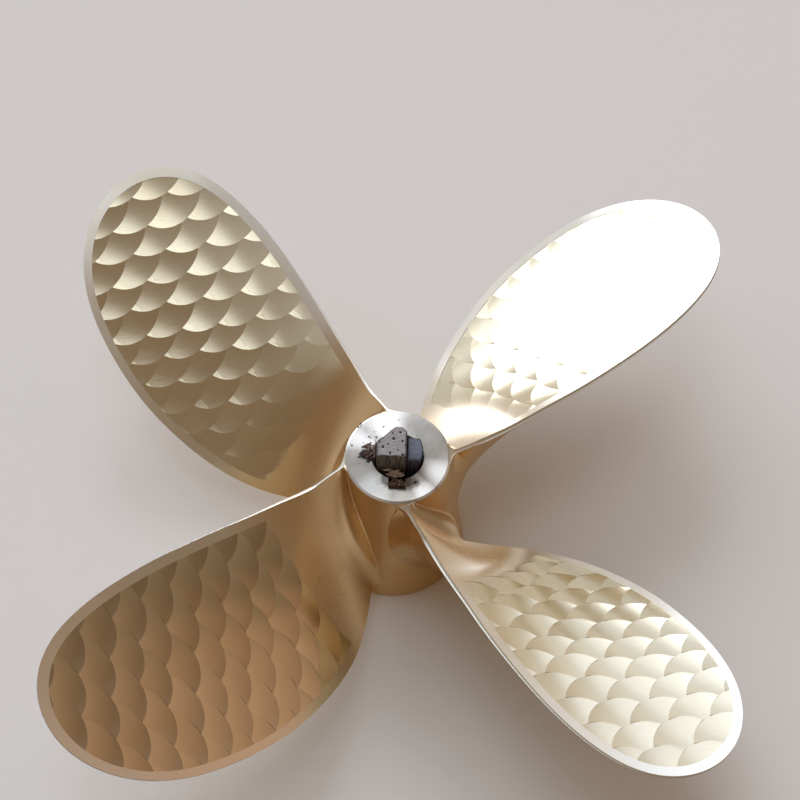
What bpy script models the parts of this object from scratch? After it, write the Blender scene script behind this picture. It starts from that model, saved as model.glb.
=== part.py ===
"""Four-bladed left-handed bronze ship propeller, standing on the forward end of its hub,
with a timber post wedged in the bore. Metres, +Z from the forward end to the aft end."""

import math

import bmesh
import bpy
from mathutils import Vector

# Overall propeller
TIP_RADIUS = 0.350
BLADE_COUNT = 4
FIRST_BLADE_ANGLE = math.radians(45)
PITCH = 0.667

# Hub, turned and bored
HUB_LENGTH = 0.1364
HUB_AFT_RADIUS = 0.0416
HUB_FORWARD_RADIUS = 0.0589
HUB_RIM_CHAMFER = 0.0015
BORE_AFT_RADIUS = 0.0205
BORE_TAPER = 1 / 12  # change of diameter along the shaft
KEYWAY_WIDTH = 0.0130
KEYWAY_DEPTH = 0.0080
KEYWAY_ANGLE = math.radians(-90)

# Blade sections, each at a share of the tip radius. The chord runs along the pitch helix.
# Skew is how far the middle of the chord lies towards the leading edge, round the hub.
# Rise is how high the middle of the chord stands over the hub's forward face.
SECTION_STATIONS = (0.15, 0.25, 0.40, 0.60, 0.80, 1.00)
SECTION_CHORDS = (0.1149, 0.1358, 0.1617, 0.1790, 0.1654)
SECTION_SKEWS = (0.0000, 0.0075, 0.0153, 0.0161, 0.0096, 0.0000)
SECTION_RISES = (0.0743, 0.0722, 0.0802, 0.0981, 0.1176, 0.1368)
SECTION_THICKNESSES = (0.0280, 0.0225, 0.0165, 0.0110, 0.0068, 0.0036)
TIP_ROUNDING = 0.0857  # radius of the outline at the very tip
EDGE_THICKNESS = 0.0030
ROOT_FILLET = 0.0180
EDGE_FILLET_SHARE = 0.4  # the fillet narrows to this share at the blade's two edges
BLADE_ROOT_DEPTH = 0.0080  # how far a blade reaches inside the hub's smallest radius

# Timber left in the bore
FIT_GAP = 0.0003
POST_LEFT = -0.0172
POST_RIGHT = 0.0068
POST_FRONT = -0.0100
POST_BACK = 0.0172
POST_PROUD = 0.0180
POST_LEFT_CUT = 0.0140
POST_RIGHT_CUT = 0.0040
WEDGE_PROUD = 0.0125
WEDGE_DEPTH = 0.0700
WEDGE_FOOT_WIDTH = 0.0040
WEDGE_FRONT_ANGLE = math.radians(-27)
WEDGE_BACK_ANGLE = math.radians(32)
SHIM_PROUD = 0.0060
SHIM_DEPTH = 0.0500
SHIM_HALF_WIDTH = 0.0050

# Fineness of the round forms
HUB_SIDES = 64
BLADE_STEPS = 12
FACE_STEPS = 10
WEDGE_STEPS = 4
CUTTER_OVERLAP = 0.01

BRONZE = {"colour": (0.62, 0.47, 0.25, 1.0), "roughness": 0.30, "metallic": 1.0}
GREY_TIMBER = {"colour": (0.24, 0.22, 0.21, 1.0), "roughness": 0.85, "metallic": 0.0}
BLUE_GREY_TIMBER = {"colour": (0.13, 0.14, 0.18, 1.0), "roughness": 0.70, "metallic": 0.0}
BROWN_TIMBER = {"colour": (0.20, 0.13, 0.08, 1.0), "roughness": 0.85, "metallic": 0.0}


def clear_scene():
    for old in list(bpy.data.objects):
        bpy.data.objects.remove(old)


def material(name, look):
    made = bpy.data.materials.new(name)
    made.use_nodes = True
    shader = made.node_tree.nodes["Principled BSDF"]
    shader.inputs["Base Color"].default_value = look["colour"]
    shader.inputs["Roughness"].default_value = look["roughness"]
    shader.inputs["Metallic"].default_value = look["metallic"]
    return made


def object_from(name, points, faces):
    """A named mesh object, with its faces turned to point out."""
    mesh = bpy.data.meshes.new(name)
    mesh.from_pydata([tuple(point) for point in points], [], faces)
    shape = bmesh.new()
    shape.from_mesh(mesh)
    bmesh.ops.recalc_face_normals(shape, faces=shape.faces)
    shape.to_mesh(mesh)
    shape.free()
    made = bpy.data.objects.new(name, mesh)
    bpy.context.scene.collection.objects.link(made)
    return made


def loft(name, loops):
    """A closed body through loops that all have the same number of points."""
    count = len(loops[0])
    points = [point for loop in loops for point in loop]
    faces = [tuple(range(count)), tuple(range(len(points) - count, len(points)))]
    for row in range(len(loops) - 1):
        for step in range(count):
            after = (step + 1) % count
            low, high = row * count, (row + 1) * count
            faces.append((low + step, low + after, high + after, high + step))
    return object_from(name, points, faces)


def as_helper(helper):
    helper.hide_render = True
    helper.display_type = "WIRE"
    return helper


def add_boolean(target, helper, operation):
    cut = target.modifiers.new(helper.name, "BOOLEAN")
    cut.operation = operation
    cut.solver = "EXACT"
    cut.object = helper


def ring(radius, height, sides):
    turns = [2 * math.pi * side / sides for side in range(sides)]
    return [Vector((radius * math.cos(t), radius * math.sin(t), height)) for t in turns]


def smooth_value(place, stations, values):
    """The value at a place on a smooth curve through the stations, straight past its ends."""
    last = len(stations) - 1
    slopes = []
    for index in range(last + 1):
        before, after = max(index - 1, 0), min(index + 1, last)
        rise = values[after] - values[before]
        slopes.append(rise / (stations[after] - stations[before]))
    if place <= stations[0]:
        return values[0] + slopes[0] * (place - stations[0])
    if place >= stations[last]:
        return values[last] + slopes[last] * (place - stations[last])
    index = max(i for i in range(last) if stations[i] <= place)
    span = stations[index + 1] - stations[index]
    t = (place - stations[index]) / span
    start = (1 + 2 * t) * (1 - t) ** 2 * values[index]
    end = t * t * (3 - 2 * t) * values[index + 1]
    start_slope = t * (1 - t) ** 2 * span * slopes[index]
    end_slope = t * t * (t - 1) * span * slopes[index + 1]
    return start + end + start_slope + end_slope


def hub_radius(height):
    share = height / HUB_LENGTH
    return HUB_FORWARD_RADIUS + (HUB_AFT_RADIUS - HUB_FORWARD_RADIUS) * share


def bore_radius(height):
    return BORE_AFT_RADIUS + (HUB_LENGTH - height) * BORE_TAPER / 2


def chord_at(radius):
    """Chord length. Divided by the square root of what is left to the tip it is a smooth curve."""
    share = radius / TIP_RADIUS
    fullness = []
    for station, chord in zip(SECTION_STATIONS, SECTION_CHORDS):
        fullness.append(chord / math.sqrt((1 - station) * TIP_RADIUS))
    fullness.append(math.sqrt(8 * TIP_ROUNDING))
    left = max(1 - share, 0) * TIP_RADIUS
    return smooth_value(share, SECTION_STATIONS, fullness) * math.sqrt(left)


def pitch_angle(radius):
    return math.atan(PITCH / (2 * math.pi * radius))


def blade_point(radius, along, above, blade_angle):
    """A point of a blade: along the chord to the leading edge, and above the pressure face."""
    share = radius / TIP_RADIUS
    skew = smooth_value(share, SECTION_STATIONS, SECTION_SKEWS)
    rise = smooth_value(share, SECTION_STATIONS, SECTION_RISES)
    pitch = pitch_angle(radius)
    around = skew + along * math.cos(pitch) + above * math.sin(pitch)
    angle = blade_angle + around / radius
    height = rise - along * math.sin(pitch) + above * math.cos(pitch)
    return Vector((radius * math.cos(angle), radius * math.sin(angle), height))


def fillet_swell(radius, height, share_of_half_chord):
    """How much the section swells where it runs into the hub, a quarter round seen end on."""
    narrowing = 1 - (1 - EDGE_FILLET_SHARE) * share_of_half_chord**2
    fillet = ROOT_FILLET * narrowing
    clear = min(max(radius - hub_radius(height), 0), fillet)
    return fillet - math.sqrt(fillet**2 - (fillet - clear) ** 2)


def blade_section(radius, blade_angle):
    """One closed section: the flat pressure face, then the rounded back."""
    half = chord_at(radius) / 2
    share = radius / TIP_RADIUS
    thickest = smooth_value(share, SECTION_STATIONS, SECTION_THICKNESSES)
    steps = [-math.cos(math.pi * step / FACE_STEPS) for step in range(FACE_STEPS + 1)]
    section = []
    for side in (1, -1):
        for step in steps[::side]:
            bulge = (thickest - EDGE_THICKNESS) * (1 - step**2)
            above = 0 if side == 1 else -EDGE_THICKNESS - bulge
            height = blade_point(radius, step * half, above, blade_angle).z
            swell = fillet_swell(radius, height, step)
            along = step * half + step**5 * swell
            section.append(blade_point(radius, along, above + side * swell, blade_angle))
    return section


def blade_radii():
    """Radii of the sections, close together in the root fillet and towards the tip."""
    root = HUB_AFT_RADIUS - BLADE_ROOT_DEPTH
    fillet_end = HUB_FORWARD_RADIUS + ROOT_FILLET
    radii = [root, HUB_AFT_RADIUS]
    fillet_steps = 5
    for step in range(1, fillet_steps + 1):
        radii.append(HUB_AFT_RADIUS + (fillet_end - HUB_AFT_RADIUS) * step / fillet_steps)
    for step in range(1, BLADE_STEPS + 1):
        turn = math.sin(math.pi / 2 * step / BLADE_STEPS)
        radii.append(fillet_end + (TIP_RADIUS - fillet_end) * turn)
    tip_inset = 0.0002
    radii[-1] = TIP_RADIUS - tip_inset
    return radii


def make_blade(number):
    blade_angle = FIRST_BLADE_ANGLE + 2 * math.pi * number / BLADE_COUNT
    loops = [blade_section(radius, blade_angle) for radius in blade_radii()]
    return as_helper(loft(f"blade_shape_{number + 1}", loops))


def make_bore_cutter():
    loops = []
    for height in (-CUTTER_OVERLAP, HUB_LENGTH + CUTTER_OVERLAP):
        loops.append(ring(bore_radius(height), height, HUB_SIDES))
    return as_helper(loft("bore_shape", loops))


def make_keyway_cutter():
    """A slot with its floor parallel to the side of the tapered bore."""
    outward = Vector((math.cos(KEYWAY_ANGLE), math.sin(KEYWAY_ANGLE), 0))
    across = Vector((-outward.y, outward.x, 0)) * KEYWAY_WIDTH / 2
    loops = []
    for height in (-CUTTER_OVERLAP, HUB_LENGTH + CUTTER_OVERLAP):
        level = Vector((0, 0, height))
        floor = outward * (bore_radius(height) + KEYWAY_DEPTH) + level
        loops.append([level - across, floor - across, floor + across, level + across])
    return as_helper(loft("keyway_shape", loops))


def make_propeller():
    """Hub, blades, bore and keyway of the one casting."""
    chamfer = HUB_RIM_CHAMFER
    rings = [
        (hub_radius(0) - chamfer, 0),
        (hub_radius(chamfer), chamfer),
        (hub_radius(HUB_LENGTH - chamfer), HUB_LENGTH - chamfer),
        (hub_radius(HUB_LENGTH) - chamfer, HUB_LENGTH),
    ]
    casting = loft("propeller_casting", [ring(r, z, HUB_SIDES) for r, z in rings])
    for number in range(BLADE_COUNT):
        add_boolean(casting, make_blade(number), "UNION")
    add_boolean(casting, make_bore_cutter(), "DIFFERENCE")
    add_boolean(casting, make_keyway_cutter(), "DIFFERENCE")
    return casting


def upright(name, outline, foot, top):
    """A post of one outline, standing from foot to top."""
    loops = [[Vector((x, y, height)) for x, y in outline] for height in (foot, top)]
    return loft(name, loops)


def make_post():
    """The baulk that stands in the bore, with its two back corners cut off."""
    outline = [
        (POST_LEFT, POST_FRONT),
        (POST_RIGHT, POST_FRONT),
        (POST_RIGHT, POST_BACK - POST_RIGHT_CUT),
        (POST_RIGHT - POST_RIGHT_CUT, POST_BACK),
        (POST_LEFT + POST_LEFT_CUT, POST_BACK),
        (POST_LEFT, POST_BACK - POST_LEFT_CUT),
    ]
    return upright("centre_post", outline, 0, HUB_LENGTH + POST_PROUD)


def make_wedge():
    """The wedge driven down between the post and the side of the bore."""
    outer = BORE_AFT_RADIUS - FIT_GAP
    inner = POST_RIGHT + FIT_GAP
    span = WEDGE_BACK_ANGLE - WEDGE_FRONT_ANGLE
    top, foot = [], []
    for step in range(WEDGE_STEPS + 1):
        turn = WEDGE_FRONT_ANGLE + span * step / WEDGE_STEPS
        x, y = outer * math.cos(turn), outer * math.sin(turn)
        top.append(Vector((x, y, HUB_LENGTH + WEDGE_PROUD)))
        foot.append(Vector((min(x, inner + WEDGE_FOOT_WIDTH), y, HUB_LENGTH - WEDGE_DEPTH)))
    for loop in (top, foot):
        loop.append(Vector((inner, loop[-1].y, loop[-1].z)))
        loop.append(Vector((inner, loop[0].y, loop[0].z)))
    return loft("side_wedge", [foot, top])


def make_shim():
    """The thin broken shim on the other side of the post."""
    inner = POST_LEFT - FIT_GAP
    outer = -math.sqrt((BORE_AFT_RADIUS - FIT_GAP) ** 2 - SHIM_HALF_WIDTH**2)
    outline = [
        (outer, -SHIM_HALF_WIDTH),
        (inner, -SHIM_HALF_WIDTH),
        (inner, SHIM_HALF_WIDTH),
        (outer, SHIM_HALF_WIDTH),
    ]
    return upright("split_shim", outline, HUB_LENGTH - SHIM_DEPTH, HUB_LENGTH + SHIM_PROUD)


def finish_piece(piece, look):
    piece.data.materials.append(material(piece.name, look))
    piece.data.shade_smooth()
    piece.data.set_sharp_from_angle(angle=math.radians(35))


def main():
    clear_scene()
    finish_piece(make_propeller(), BRONZE)
    finish_piece(make_post(), GREY_TIMBER)
    finish_piece(make_wedge(), BLUE_GREY_TIMBER)
    finish_piece(make_shim(), BROWN_TIMBER)


main()
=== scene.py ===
import math

import bpy
import numpy as np
from mathutils import Matrix, Vector, noise
from mathutils.geometry import delaunay_2d_cdt


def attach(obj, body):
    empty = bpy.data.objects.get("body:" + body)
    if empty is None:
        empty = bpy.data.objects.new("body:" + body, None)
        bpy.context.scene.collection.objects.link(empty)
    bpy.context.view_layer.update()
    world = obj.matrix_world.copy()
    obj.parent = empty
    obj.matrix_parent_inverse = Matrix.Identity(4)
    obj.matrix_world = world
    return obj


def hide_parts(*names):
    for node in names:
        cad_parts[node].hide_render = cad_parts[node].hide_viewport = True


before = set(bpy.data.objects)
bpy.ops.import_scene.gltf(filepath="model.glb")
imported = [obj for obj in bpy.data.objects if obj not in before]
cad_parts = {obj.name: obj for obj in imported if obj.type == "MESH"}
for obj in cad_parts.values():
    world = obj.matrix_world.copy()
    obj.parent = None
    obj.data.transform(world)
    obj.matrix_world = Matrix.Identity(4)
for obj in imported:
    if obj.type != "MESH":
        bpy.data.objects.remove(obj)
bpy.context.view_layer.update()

# All sizes are metres and all angles degrees. The blades follow the same sections as the CAD casting.
blade = {
    "tipRadius": 0.350,
    "count": 4,
    "firstAngle": 45,
    "pitch": 0.667,
    "stations": (0.15, 0.25, 0.40, 0.60, 0.80, 1.00),  # shares of the tip radius, for the four rows below
    "chords": (0.1149, 0.1358, 0.1617, 0.1790, 0.1654),
    "skews": (0.0000, 0.0075, 0.0153, 0.0161, 0.0096, 0.0000),
    "rises": (0.0743, 0.0722, 0.0802, 0.0981, 0.1176, 0.1368),
    "thicknesses": (0.0280, 0.0225, 0.0165, 0.0110, 0.0068, 0.0036),
    "tipRounding": 0.0857,
    "edgeThickness": 0.0030,
    "edgeRounding": 0.0012,
    "edgeSteps": 8,
    "rootFillet": 0.0180,
    "edgeFilletShare": 0.4,
    "underFace": 0.0016,  # the root stays this far under the aft face
    "underFaceSoftness": 0.0010,
    "underFaceReach": 0.012,
    "outlineFrom": 0.070,
    "outlineSteps": 1500,
    "insideHub": (0.004, 0.001),  # the lowest rows of points are this far inside the hub
    "filletSteps": 15,
    "rootSteps": 12,
    "rootGuess": 0.060,
    "rootTries": 8,
    "latticeFrom": 0.090,  # the square lattice of points starts at this radius
    "cell": 0.00110,
    "trim": 0.0003,  # the outline is this much inside the CAD one
    "shearStep": 0.0005,
    "slopeStep": 0.0002,
    "sharpAngle": 28,
}

hub = {
    "length": 0.1364,
    "aftRadius": 0.0416,
    "forwardRadius": 0.0589,
    "rimChamfer": 0.0015,
    "boreAftRadius": 0.0205,
    "boreTaper": 1 / 12,
    "boreChamfer": 0.0006,
    "keywayWidth": 0.0130,
    "keywayDepth": 0.0080,
    "keywayPast": 0.01,  # the cut goes this far past the forward face
    "keywayFlare": 0.0014,
    "flareDown": 2.0,
    "flareAside": 0.35,
    "sides": 288,
    "sideRows": 30,
    "faceRings": 12,
    "boreRows": 16,
    "sharpAngle": 28,
    "facingUp": 0.3,  # faces that look up more than this are machined
    "boreMargin": 0.003,
    "footMargin": 0.0003,
}

# The hand-ground scales. Each is the mark of a round tool, laid over its neighbour towards the
# leading edge and over the one nearer the hub.
scales = {
    "toolRadius": 0.0315,
    "border": 0.0085,  # smooth band left along the blade's edge
    "dishAcross": 0.210,  # radius of the hollow across the blade
    "dishAlong": 0.480,  # radius of the hollow up the blade
    "depth": 0.00095,
    "depthShares": (0.92, 1.08),
    "tilt": 0.006,
    "highest": 0.00014,
    "polish": 0.55,  # share of the slope that is given by shading alone, as the borders are worn down
    "centreRight": 0.0068,
    "centreUp": 0.0101,
    "columns": 6,  # marks to each side of a row's start
    "pastTip": 0.05,
    "pastLowest": 0.02,
    "rowStep": 0.01667,  # a row lies this far, and a share of its radius, under the next
    "rowShare": 0.02778,
    "rowSlope": 0.20,
    "rowSlopeTurn": 2.0,
    "rowSlopeRadius": 0.280,
    "rowBend": 3.0,
    "driftRadius": 0.250,
    "drift": 1.47,
    "jitter": 0.0007,
    "shearFrom": (-0.09, 0.06),  # places along the chord and radii within which a mark is sheared
    "shearTo": (0.09, 0.34),
    "reachAlong": 0.080,  # a mark is looked for within this much of its start
    "reachUp": 0.075,
    "snapShare": 0.55,  # points within this share of a cell move onto a mark's border
    "fade": 0.030,  # the lowest marks grow shallow over this height
    "fadeUnder": 0.006,
    "tightening": 0.28,  # the hollows get this much tighter towards the root
    "tighteningFrom": 0.300,
    "tighteningSpan": 0.180,
    "warmUnder": 0.150,
    "warmFade": 0.060,
    "paintedShadeSlope": 0.8,  # a scale is painted darker towards its lower leading corner, as painted shade
    "paintedShadeFrom": 0.002,
    "paintedShadeSpan": 0.034,
    "leanRadii": (0.06, 0.10, 0.15, 0.19, 0.22, 0.27, 0.32),
    "leans": (0.0, 12.0, 11.5, 7.5, 5.0, 1.5, -1.5),
    "rootLeanUnder": 0.118,
    "rootLeanFade": 0.020,
    "rimLeanFrom": 0.120,
    "rimLeanTo": 0.330,
    "rimLeanFade": 0.040,
    # painted shade on the rim band along the leading edge, standing in for a darker reflection
    "rimPaintedShade": 0.30,
    # What a row of the faces or backs leaves out.
    "plain": {"lean": 0.0, "rootLean": 0, "rimLean": 0, "amberUnderPaintedReflection": 1.0, "paintedShade": 0.2},
    # In the rows below, paintedShade sets how strong each blade's painted shade is.
    "faces": (
        # amberUnderPaintedReflection is the share of the root's amber a blade keeps: less where its root is
        # painted paler, as painted reflection.
        {"start": 0.0006, "across": 0.0273, "row": 0.3099, "lowest": 0.103, "seed": 11,
         "rootLean": 18, "rimLean": 12, "amberUnderPaintedReflection": 0.45, "paintedShade": 0.10},
        {"start": -0.0050, "across": 0.0291, "row": 0.3050, "lowest": 0.094, "seed": 12,
         "lean": 1.0, "amberUnderPaintedReflection": 0.9},
        {"start": -0.0048, "across": 0.0284, "row": 0.2960, "lowest": 0.098, "seed": 13,
         "lean": 0.5, "amberUnderPaintedReflection": 0.9, "paintedShade": 0.58},
        {"start": -0.0092, "across": 0.0303, "row": 0.2970, "lowest": 0.096, "seed": 14,
         "lean": 0.5, "rootLean": 27, "amberUnderPaintedReflection": 0.5, "paintedShade": 0.12},
    ),
    "backs": (
        {"start": 0.0050, "across": 0.0300, "row": 0.3010, "lowest": 0.100, "seed": 21},
        {"start": -0.0060, "across": 0.0295, "row": 0.3080, "lowest": 0.100, "seed": 22},
        {"start": 0.0110, "across": 0.0290, "row": 0.2990, "lowest": 0.100, "seed": 23},
        {"start": 0.0020, "across": 0.0300, "row": 0.3040, "lowest": 0.100, "seed": 24},
    ),
}


# A smooth curve through the values at the stations, carried on straight past both ends.
def smoothValue(place, stations, values):
    stations, values = np.array(stations, float), np.array(values, float)
    last = len(stations) - 1
    before = np.maximum(np.arange(last + 1) - 1, 0)
    after = np.minimum(np.arange(last + 1) + 1, last)
    slopes = (values[after] - values[before]) / (stations[after] - stations[before])
    place = np.asarray(place, float)
    inside = np.clip(place, stations[0], stations[last])
    index = np.clip(np.searchsorted(stations, inside, side="right") - 1, 0, last - 1)
    span = stations[index + 1] - stations[index]
    t = (inside - stations[index]) / span
    value = (1 + 2 * t) * (1 - t) ** 2 * values[index] + t * t * (3 - 2 * t) * values[index + 1]
    value += t * (1 - t) ** 2 * span * slopes[index] + t * t * (t - 1) * span * slopes[index + 1]
    value += slopes[0] * np.minimum(place - stations[0], 0)
    return value + slopes[last] * np.maximum(place - stations[last], 0)


def bladeValue(radius, name):
    return smoothValue(radius / blade["tipRadius"], blade["stations"], blade[name])


def chordAt(radius):
    tip = blade["tipRadius"]
    share = np.asarray(radius, float) / tip
    fullness = [c / math.sqrt((1 - s) * tip) for s, c in zip(blade["stations"], blade["chords"])]
    fullness.append(math.sqrt(8 * blade["tipRounding"]))
    return smoothValue(share, blade["stations"], fullness) * np.sqrt(np.maximum(1 - share, 0) * tip)


def bladePoints(radius, along, above, turn):
    pitch = np.arctan(blade["pitch"] / (2 * math.pi * radius))
    around = bladeValue(radius, "skews") + along * np.cos(pitch) + above * np.sin(pitch)
    angle = turn + around / radius
    height = bladeValue(radius, "rises") - along * np.sin(pitch) + above * np.cos(pitch)
    return np.stack([radius * np.cos(angle), radius * np.sin(angle), height], -1)


def hubRadius(height):
    return hub["forwardRadius"] + (hub["aftRadius"] - hub["forwardRadius"]) * height / hub["length"]


def boreRadius(height):
    return hub["boreAftRadius"] + (hub["length"] - height) * hub["boreTaper"] / 2


def filletAt(share):
    return blade["rootFillet"] * (1 - (1 - blade["edgeFilletShare"]) * share**2)


# One side of a blade: side 1 is the pressure face and side -1 the back. Lift is along the surface's normal.
def surfacePoints(radius, along, side, lift, turn):
    share = np.clip(along / (chordAt(radius) / 2), -1, 1)
    bulge = (bladeValue(radius, "thicknesses") - blade["edgeThickness"]) * (1 - share**2)
    above = 0 * bulge if side == 1 else -blade["edgeThickness"] - bulge
    height = bladePoints(radius, along, above, 0)[..., 2]
    fillet = filletAt(share)
    clear = np.clip(radius - hubRadius(height), 0, fillet)
    swell = fillet - np.sqrt(fillet**2 - (fillet - clear) ** 2)
    points = bladePoints(radius, along + share**5 * swell, above + side * (swell + lift), turn)
    return underAftFace(points)


# Near the hub a blade stays just under the rim of the aft face.
def underAftFace(points):
    highest, soft = hub["length"] - blade["underFace"], blade["underFaceSoftness"]
    over = (points[..., 2] - highest) / soft
    limited = highest - soft * np.logaddexp(0, -over)
    near = np.hypot(points[..., 0], points[..., 1]) < hub["aftRadius"] + blade["underFaceReach"]
    points[..., 2] = np.where(near, limited, points[..., 2])
    return points


# The blade's outline moved inwards, as half widths by radius and as top radii by place along the chord.
def insetOutline(inset):
    tip, low = blade["tipRadius"], blade["outlineFrom"]
    radius = tip - (tip - low) * np.linspace(0, 1, blade["outlineSteps"]) ** 2
    half = chordAt(radius) / 2
    side, up = np.gradient(half), np.gradient(radius)
    length = np.hypot(side, up)
    insetHalf = half + inset * up / length
    insetRadius = radius - inset * side / length
    keep = insetHalf > 0
    insetHalf, insetRadius = insetHalf[keep], insetRadius[keep]
    widest = int(np.argmax(insetHalf))
    return {
        "radius": insetRadius[::-1],
        "half": insetHalf[::-1],
        "topHalf": insetHalf[: widest + 1],
        "topRadius": insetRadius[: widest + 1],
        "widestRadius": insetRadius[widest],
    }


def halfWidth(outline, radius):
    return np.interp(radius, outline["radius"], outline["half"], right=-1.0)


# Points within reach of the outline move onto it, upwards near the tip and sideways elsewhere.
def snapToOutline(along, radius, outline, reach):
    toSide = halfWidth(outline, radius) - np.abs(along)
    toTop = np.interp(np.abs(along), outline["topHalf"], outline["topRadius"], right=-1.0) - radius
    upper = radius > outline["widestRadius"]
    useTop = upper & (np.abs(toTop) < np.abs(toSide))
    useSide = ~useTop & (np.abs(toSide) < reach)
    useTop &= np.abs(toTop) < reach
    moved = np.where(useSide, np.sign(along) * (np.abs(along) + toSide), along)
    return moved, np.where(useTop, radius + toTop, radius), useSide | useTop


# Square cells between rows of point numbers.
def gridCells(numbers):
    corners = numbers[:-1, :-1], numbers[:-1, 1:], numbers[1:, 1:], numbers[1:, :-1]
    return np.stack(corners, -1).reshape(-1, 4)


# Points and cells of one side, as places along the chord and radii: rows that follow the hub in the
# fillet, then a square lattice whose outer points are moved onto the outline.
def makeLattice(side):
    cell = blade["cell"]
    outline = insetOutline(blade["edgeRounding"] + blade["trim"])
    reach = int(outline["half"].max() / cell) + 2
    columns = np.arange(-reach, reach + 1) * cell
    rows = np.arange(blade["latticeFrom"], blade["tipRadius"] + cell, cell)
    along, radius = np.meshgrid(columns, rows)
    along, radius, onEdge = snapToOutline(along, radius, outline, cell / 2)
    kept = (np.abs(along) < halfWidth(outline, radius)) | onEdge
    first = np.flatnonzero(kept[0])
    shares = along[0, first] / abs(along[0, first[0]])
    rootAlong, rootRadius = rootRows(shares, outline, side)
    rootNumber = np.arange(rootAlong.size).reshape(rootAlong.shape)
    number = np.full(kept.shape, -1)
    number[kept] = np.arange(kept.sum()) + rootAlong.size
    rootCells = gridCells(np.vstack([rootNumber, number[0, first]]))
    corners = gridCells(number)
    found = (corners >= 0).sum(1)
    triangles = [[corner for corner in row if corner >= 0] for row in corners[found == 3]]
    fixed = onEdge[kept] | (radius[kept] < blade["latticeFrom"] + cell / 2)
    return {
        "along": np.concatenate([rootAlong.ravel(), along[kept]]),
        "radius": np.concatenate([rootRadius.ravel(), radius[kept]]),
        "fixed": np.concatenate([np.ones(rootAlong.size, bool), fixed]),
        "quads": np.vstack([rootCells, corners[found == 4]]),
        "triangles": np.array(triangles).reshape(-1, 3),
        "width": len(first),
    }


def rootRows(shares, outline, side):
    clearances = [-inside * np.ones_like(shares) for inside in blade["insideHub"]]
    for turn in np.radians(np.linspace(0, 90, blade["filletSteps"])):
        clearances.append(filletAt(shares) * (1 - math.cos(turn)))
    rows = [rowAtClearance(shares, clearance, outline, side) for clearance in clearances]
    last, steps = rows[-1], blade["rootSteps"]
    rows += [last + (blade["latticeFrom"] - last) * step / steps for step in range(1, steps)]
    radius = np.array(rows)
    return shares * halfWidth(outline, radius), radius


# Radii at which a row of points stands a given distance clear of the tapered hub, found by trying.
def rowAtClearance(shares, clearance, outline, side):
    radius = np.full(len(shares), blade["rootGuess"])
    for _ in range(blade["rootTries"]):
        thickness = bladeValue(radius, "thicknesses")
        bulge = 0 if side == 1 else (thickness - blade["edgeThickness"]) * (1 - shares**2)
        along = shares * np.interp(radius, outline["radius"], outline["half"])
        height = bladePoints(radius, along, -blade["edgeThickness"] / 2 - bulge, 0)[:, 2]
        radius = hubRadius(height) + clearance
    return radius


# How far a step up the radius also goes along the chord, on the twisted surface.
def shearAt(along, radius):
    step = blade["shearStep"]
    around = np.array([radius - step, radius + step])
    skew, rise = bladeValue(around, "skews"), bladeValue(around, "rises")
    pitch = math.atan(blade["pitch"] / (2 * math.pi * radius))
    skewSlope, riseSlope = np.diff(skew)[0] / (2 * step), np.diff(rise)[0] / (2 * step)
    onArc = skew.mean() + along * math.cos(pitch)
    return math.cos(pitch) * (skewSlope - onArc / radius) - math.sin(pitch) * riseSlope


# The tool's marks on one side of a blade, the ones that others cut into first.
def makeScoops(pattern):
    random = np.random.default_rng(pattern["seed"])
    kept = 1 - scales["rowShare"]
    rows = [pattern["row"]]
    while rows[0] < blade["tipRadius"] + scales["pastTip"]:
        rows.insert(0, (rows[0] + scales["rowStep"]) / kept)
    while rows[-1] > pattern["lowest"] + scales["pastLowest"]:
        rows.append(rows[-1] * kept - scales["rowStep"])
    columns = range(-scales["columns"], scales["columns"] + 1)
    scoops = []
    for row in rows[::-1]:
        starts = [scoopStart(pattern, row, column, random) for column in columns]
        for place, following in list(zip(starts, starts[1:]))[::-1]:
            scoops.append(makeScoop(place, following, random))
    return scoops


def scoopStart(pattern, row, column, random):
    along = pattern["start"] + column * pattern["across"]
    slope = scales["rowSlope"] - scales["rowSlopeTurn"] * (scales["rowSlopeRadius"] - row)
    radius = row - slope * along + scales["rowBend"] / 2 * along**2
    along += scales["drift"] * max(scales["driftRadius"] - radius, 0) ** 2
    jitter = random.normal(0, scales["jitter"], 2)
    return along + jitter[0], radius + jitter[1]


# One mark: its start, the tool's centre, the middle of its hollow and its own tilt, depth and shade.
def makeScoop(place, following, random):
    shear = shearAt(*np.clip(place, scales["shearFrom"], scales["shearTo"]))
    up = following[1] - place[1]
    side = following[0] - place[0] + shear * up
    length = math.hypot(side, up)
    ahead, outward = Vector((side, up)) / length, Vector((-up, side)) / length
    middle = ahead * length / 2
    lift = math.sqrt(max(scales["toolRadius"] ** 2 - length**2 / 4, 0))
    return {
        "along": place[0],
        "radius": place[1],
        "shear": shear,
        "ahead": ahead,
        "outward": outward,
        "tool": middle + outward * lift,
        "hollow": middle + ahead * scales["centreRight"] + outward * scales["centreUp"],
        "tilt": random.normal(0, scales["tilt"], 2),
        "depth": scales["depth"] * random.uniform(*scales["depthShares"]),
        "shade": random.uniform(0, 1),
    }


def localPlace(scoop, along, radius):
    up = radius - scoop["radius"]
    return along - scoop["along"] + scoop["shear"] * up, up


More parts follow.
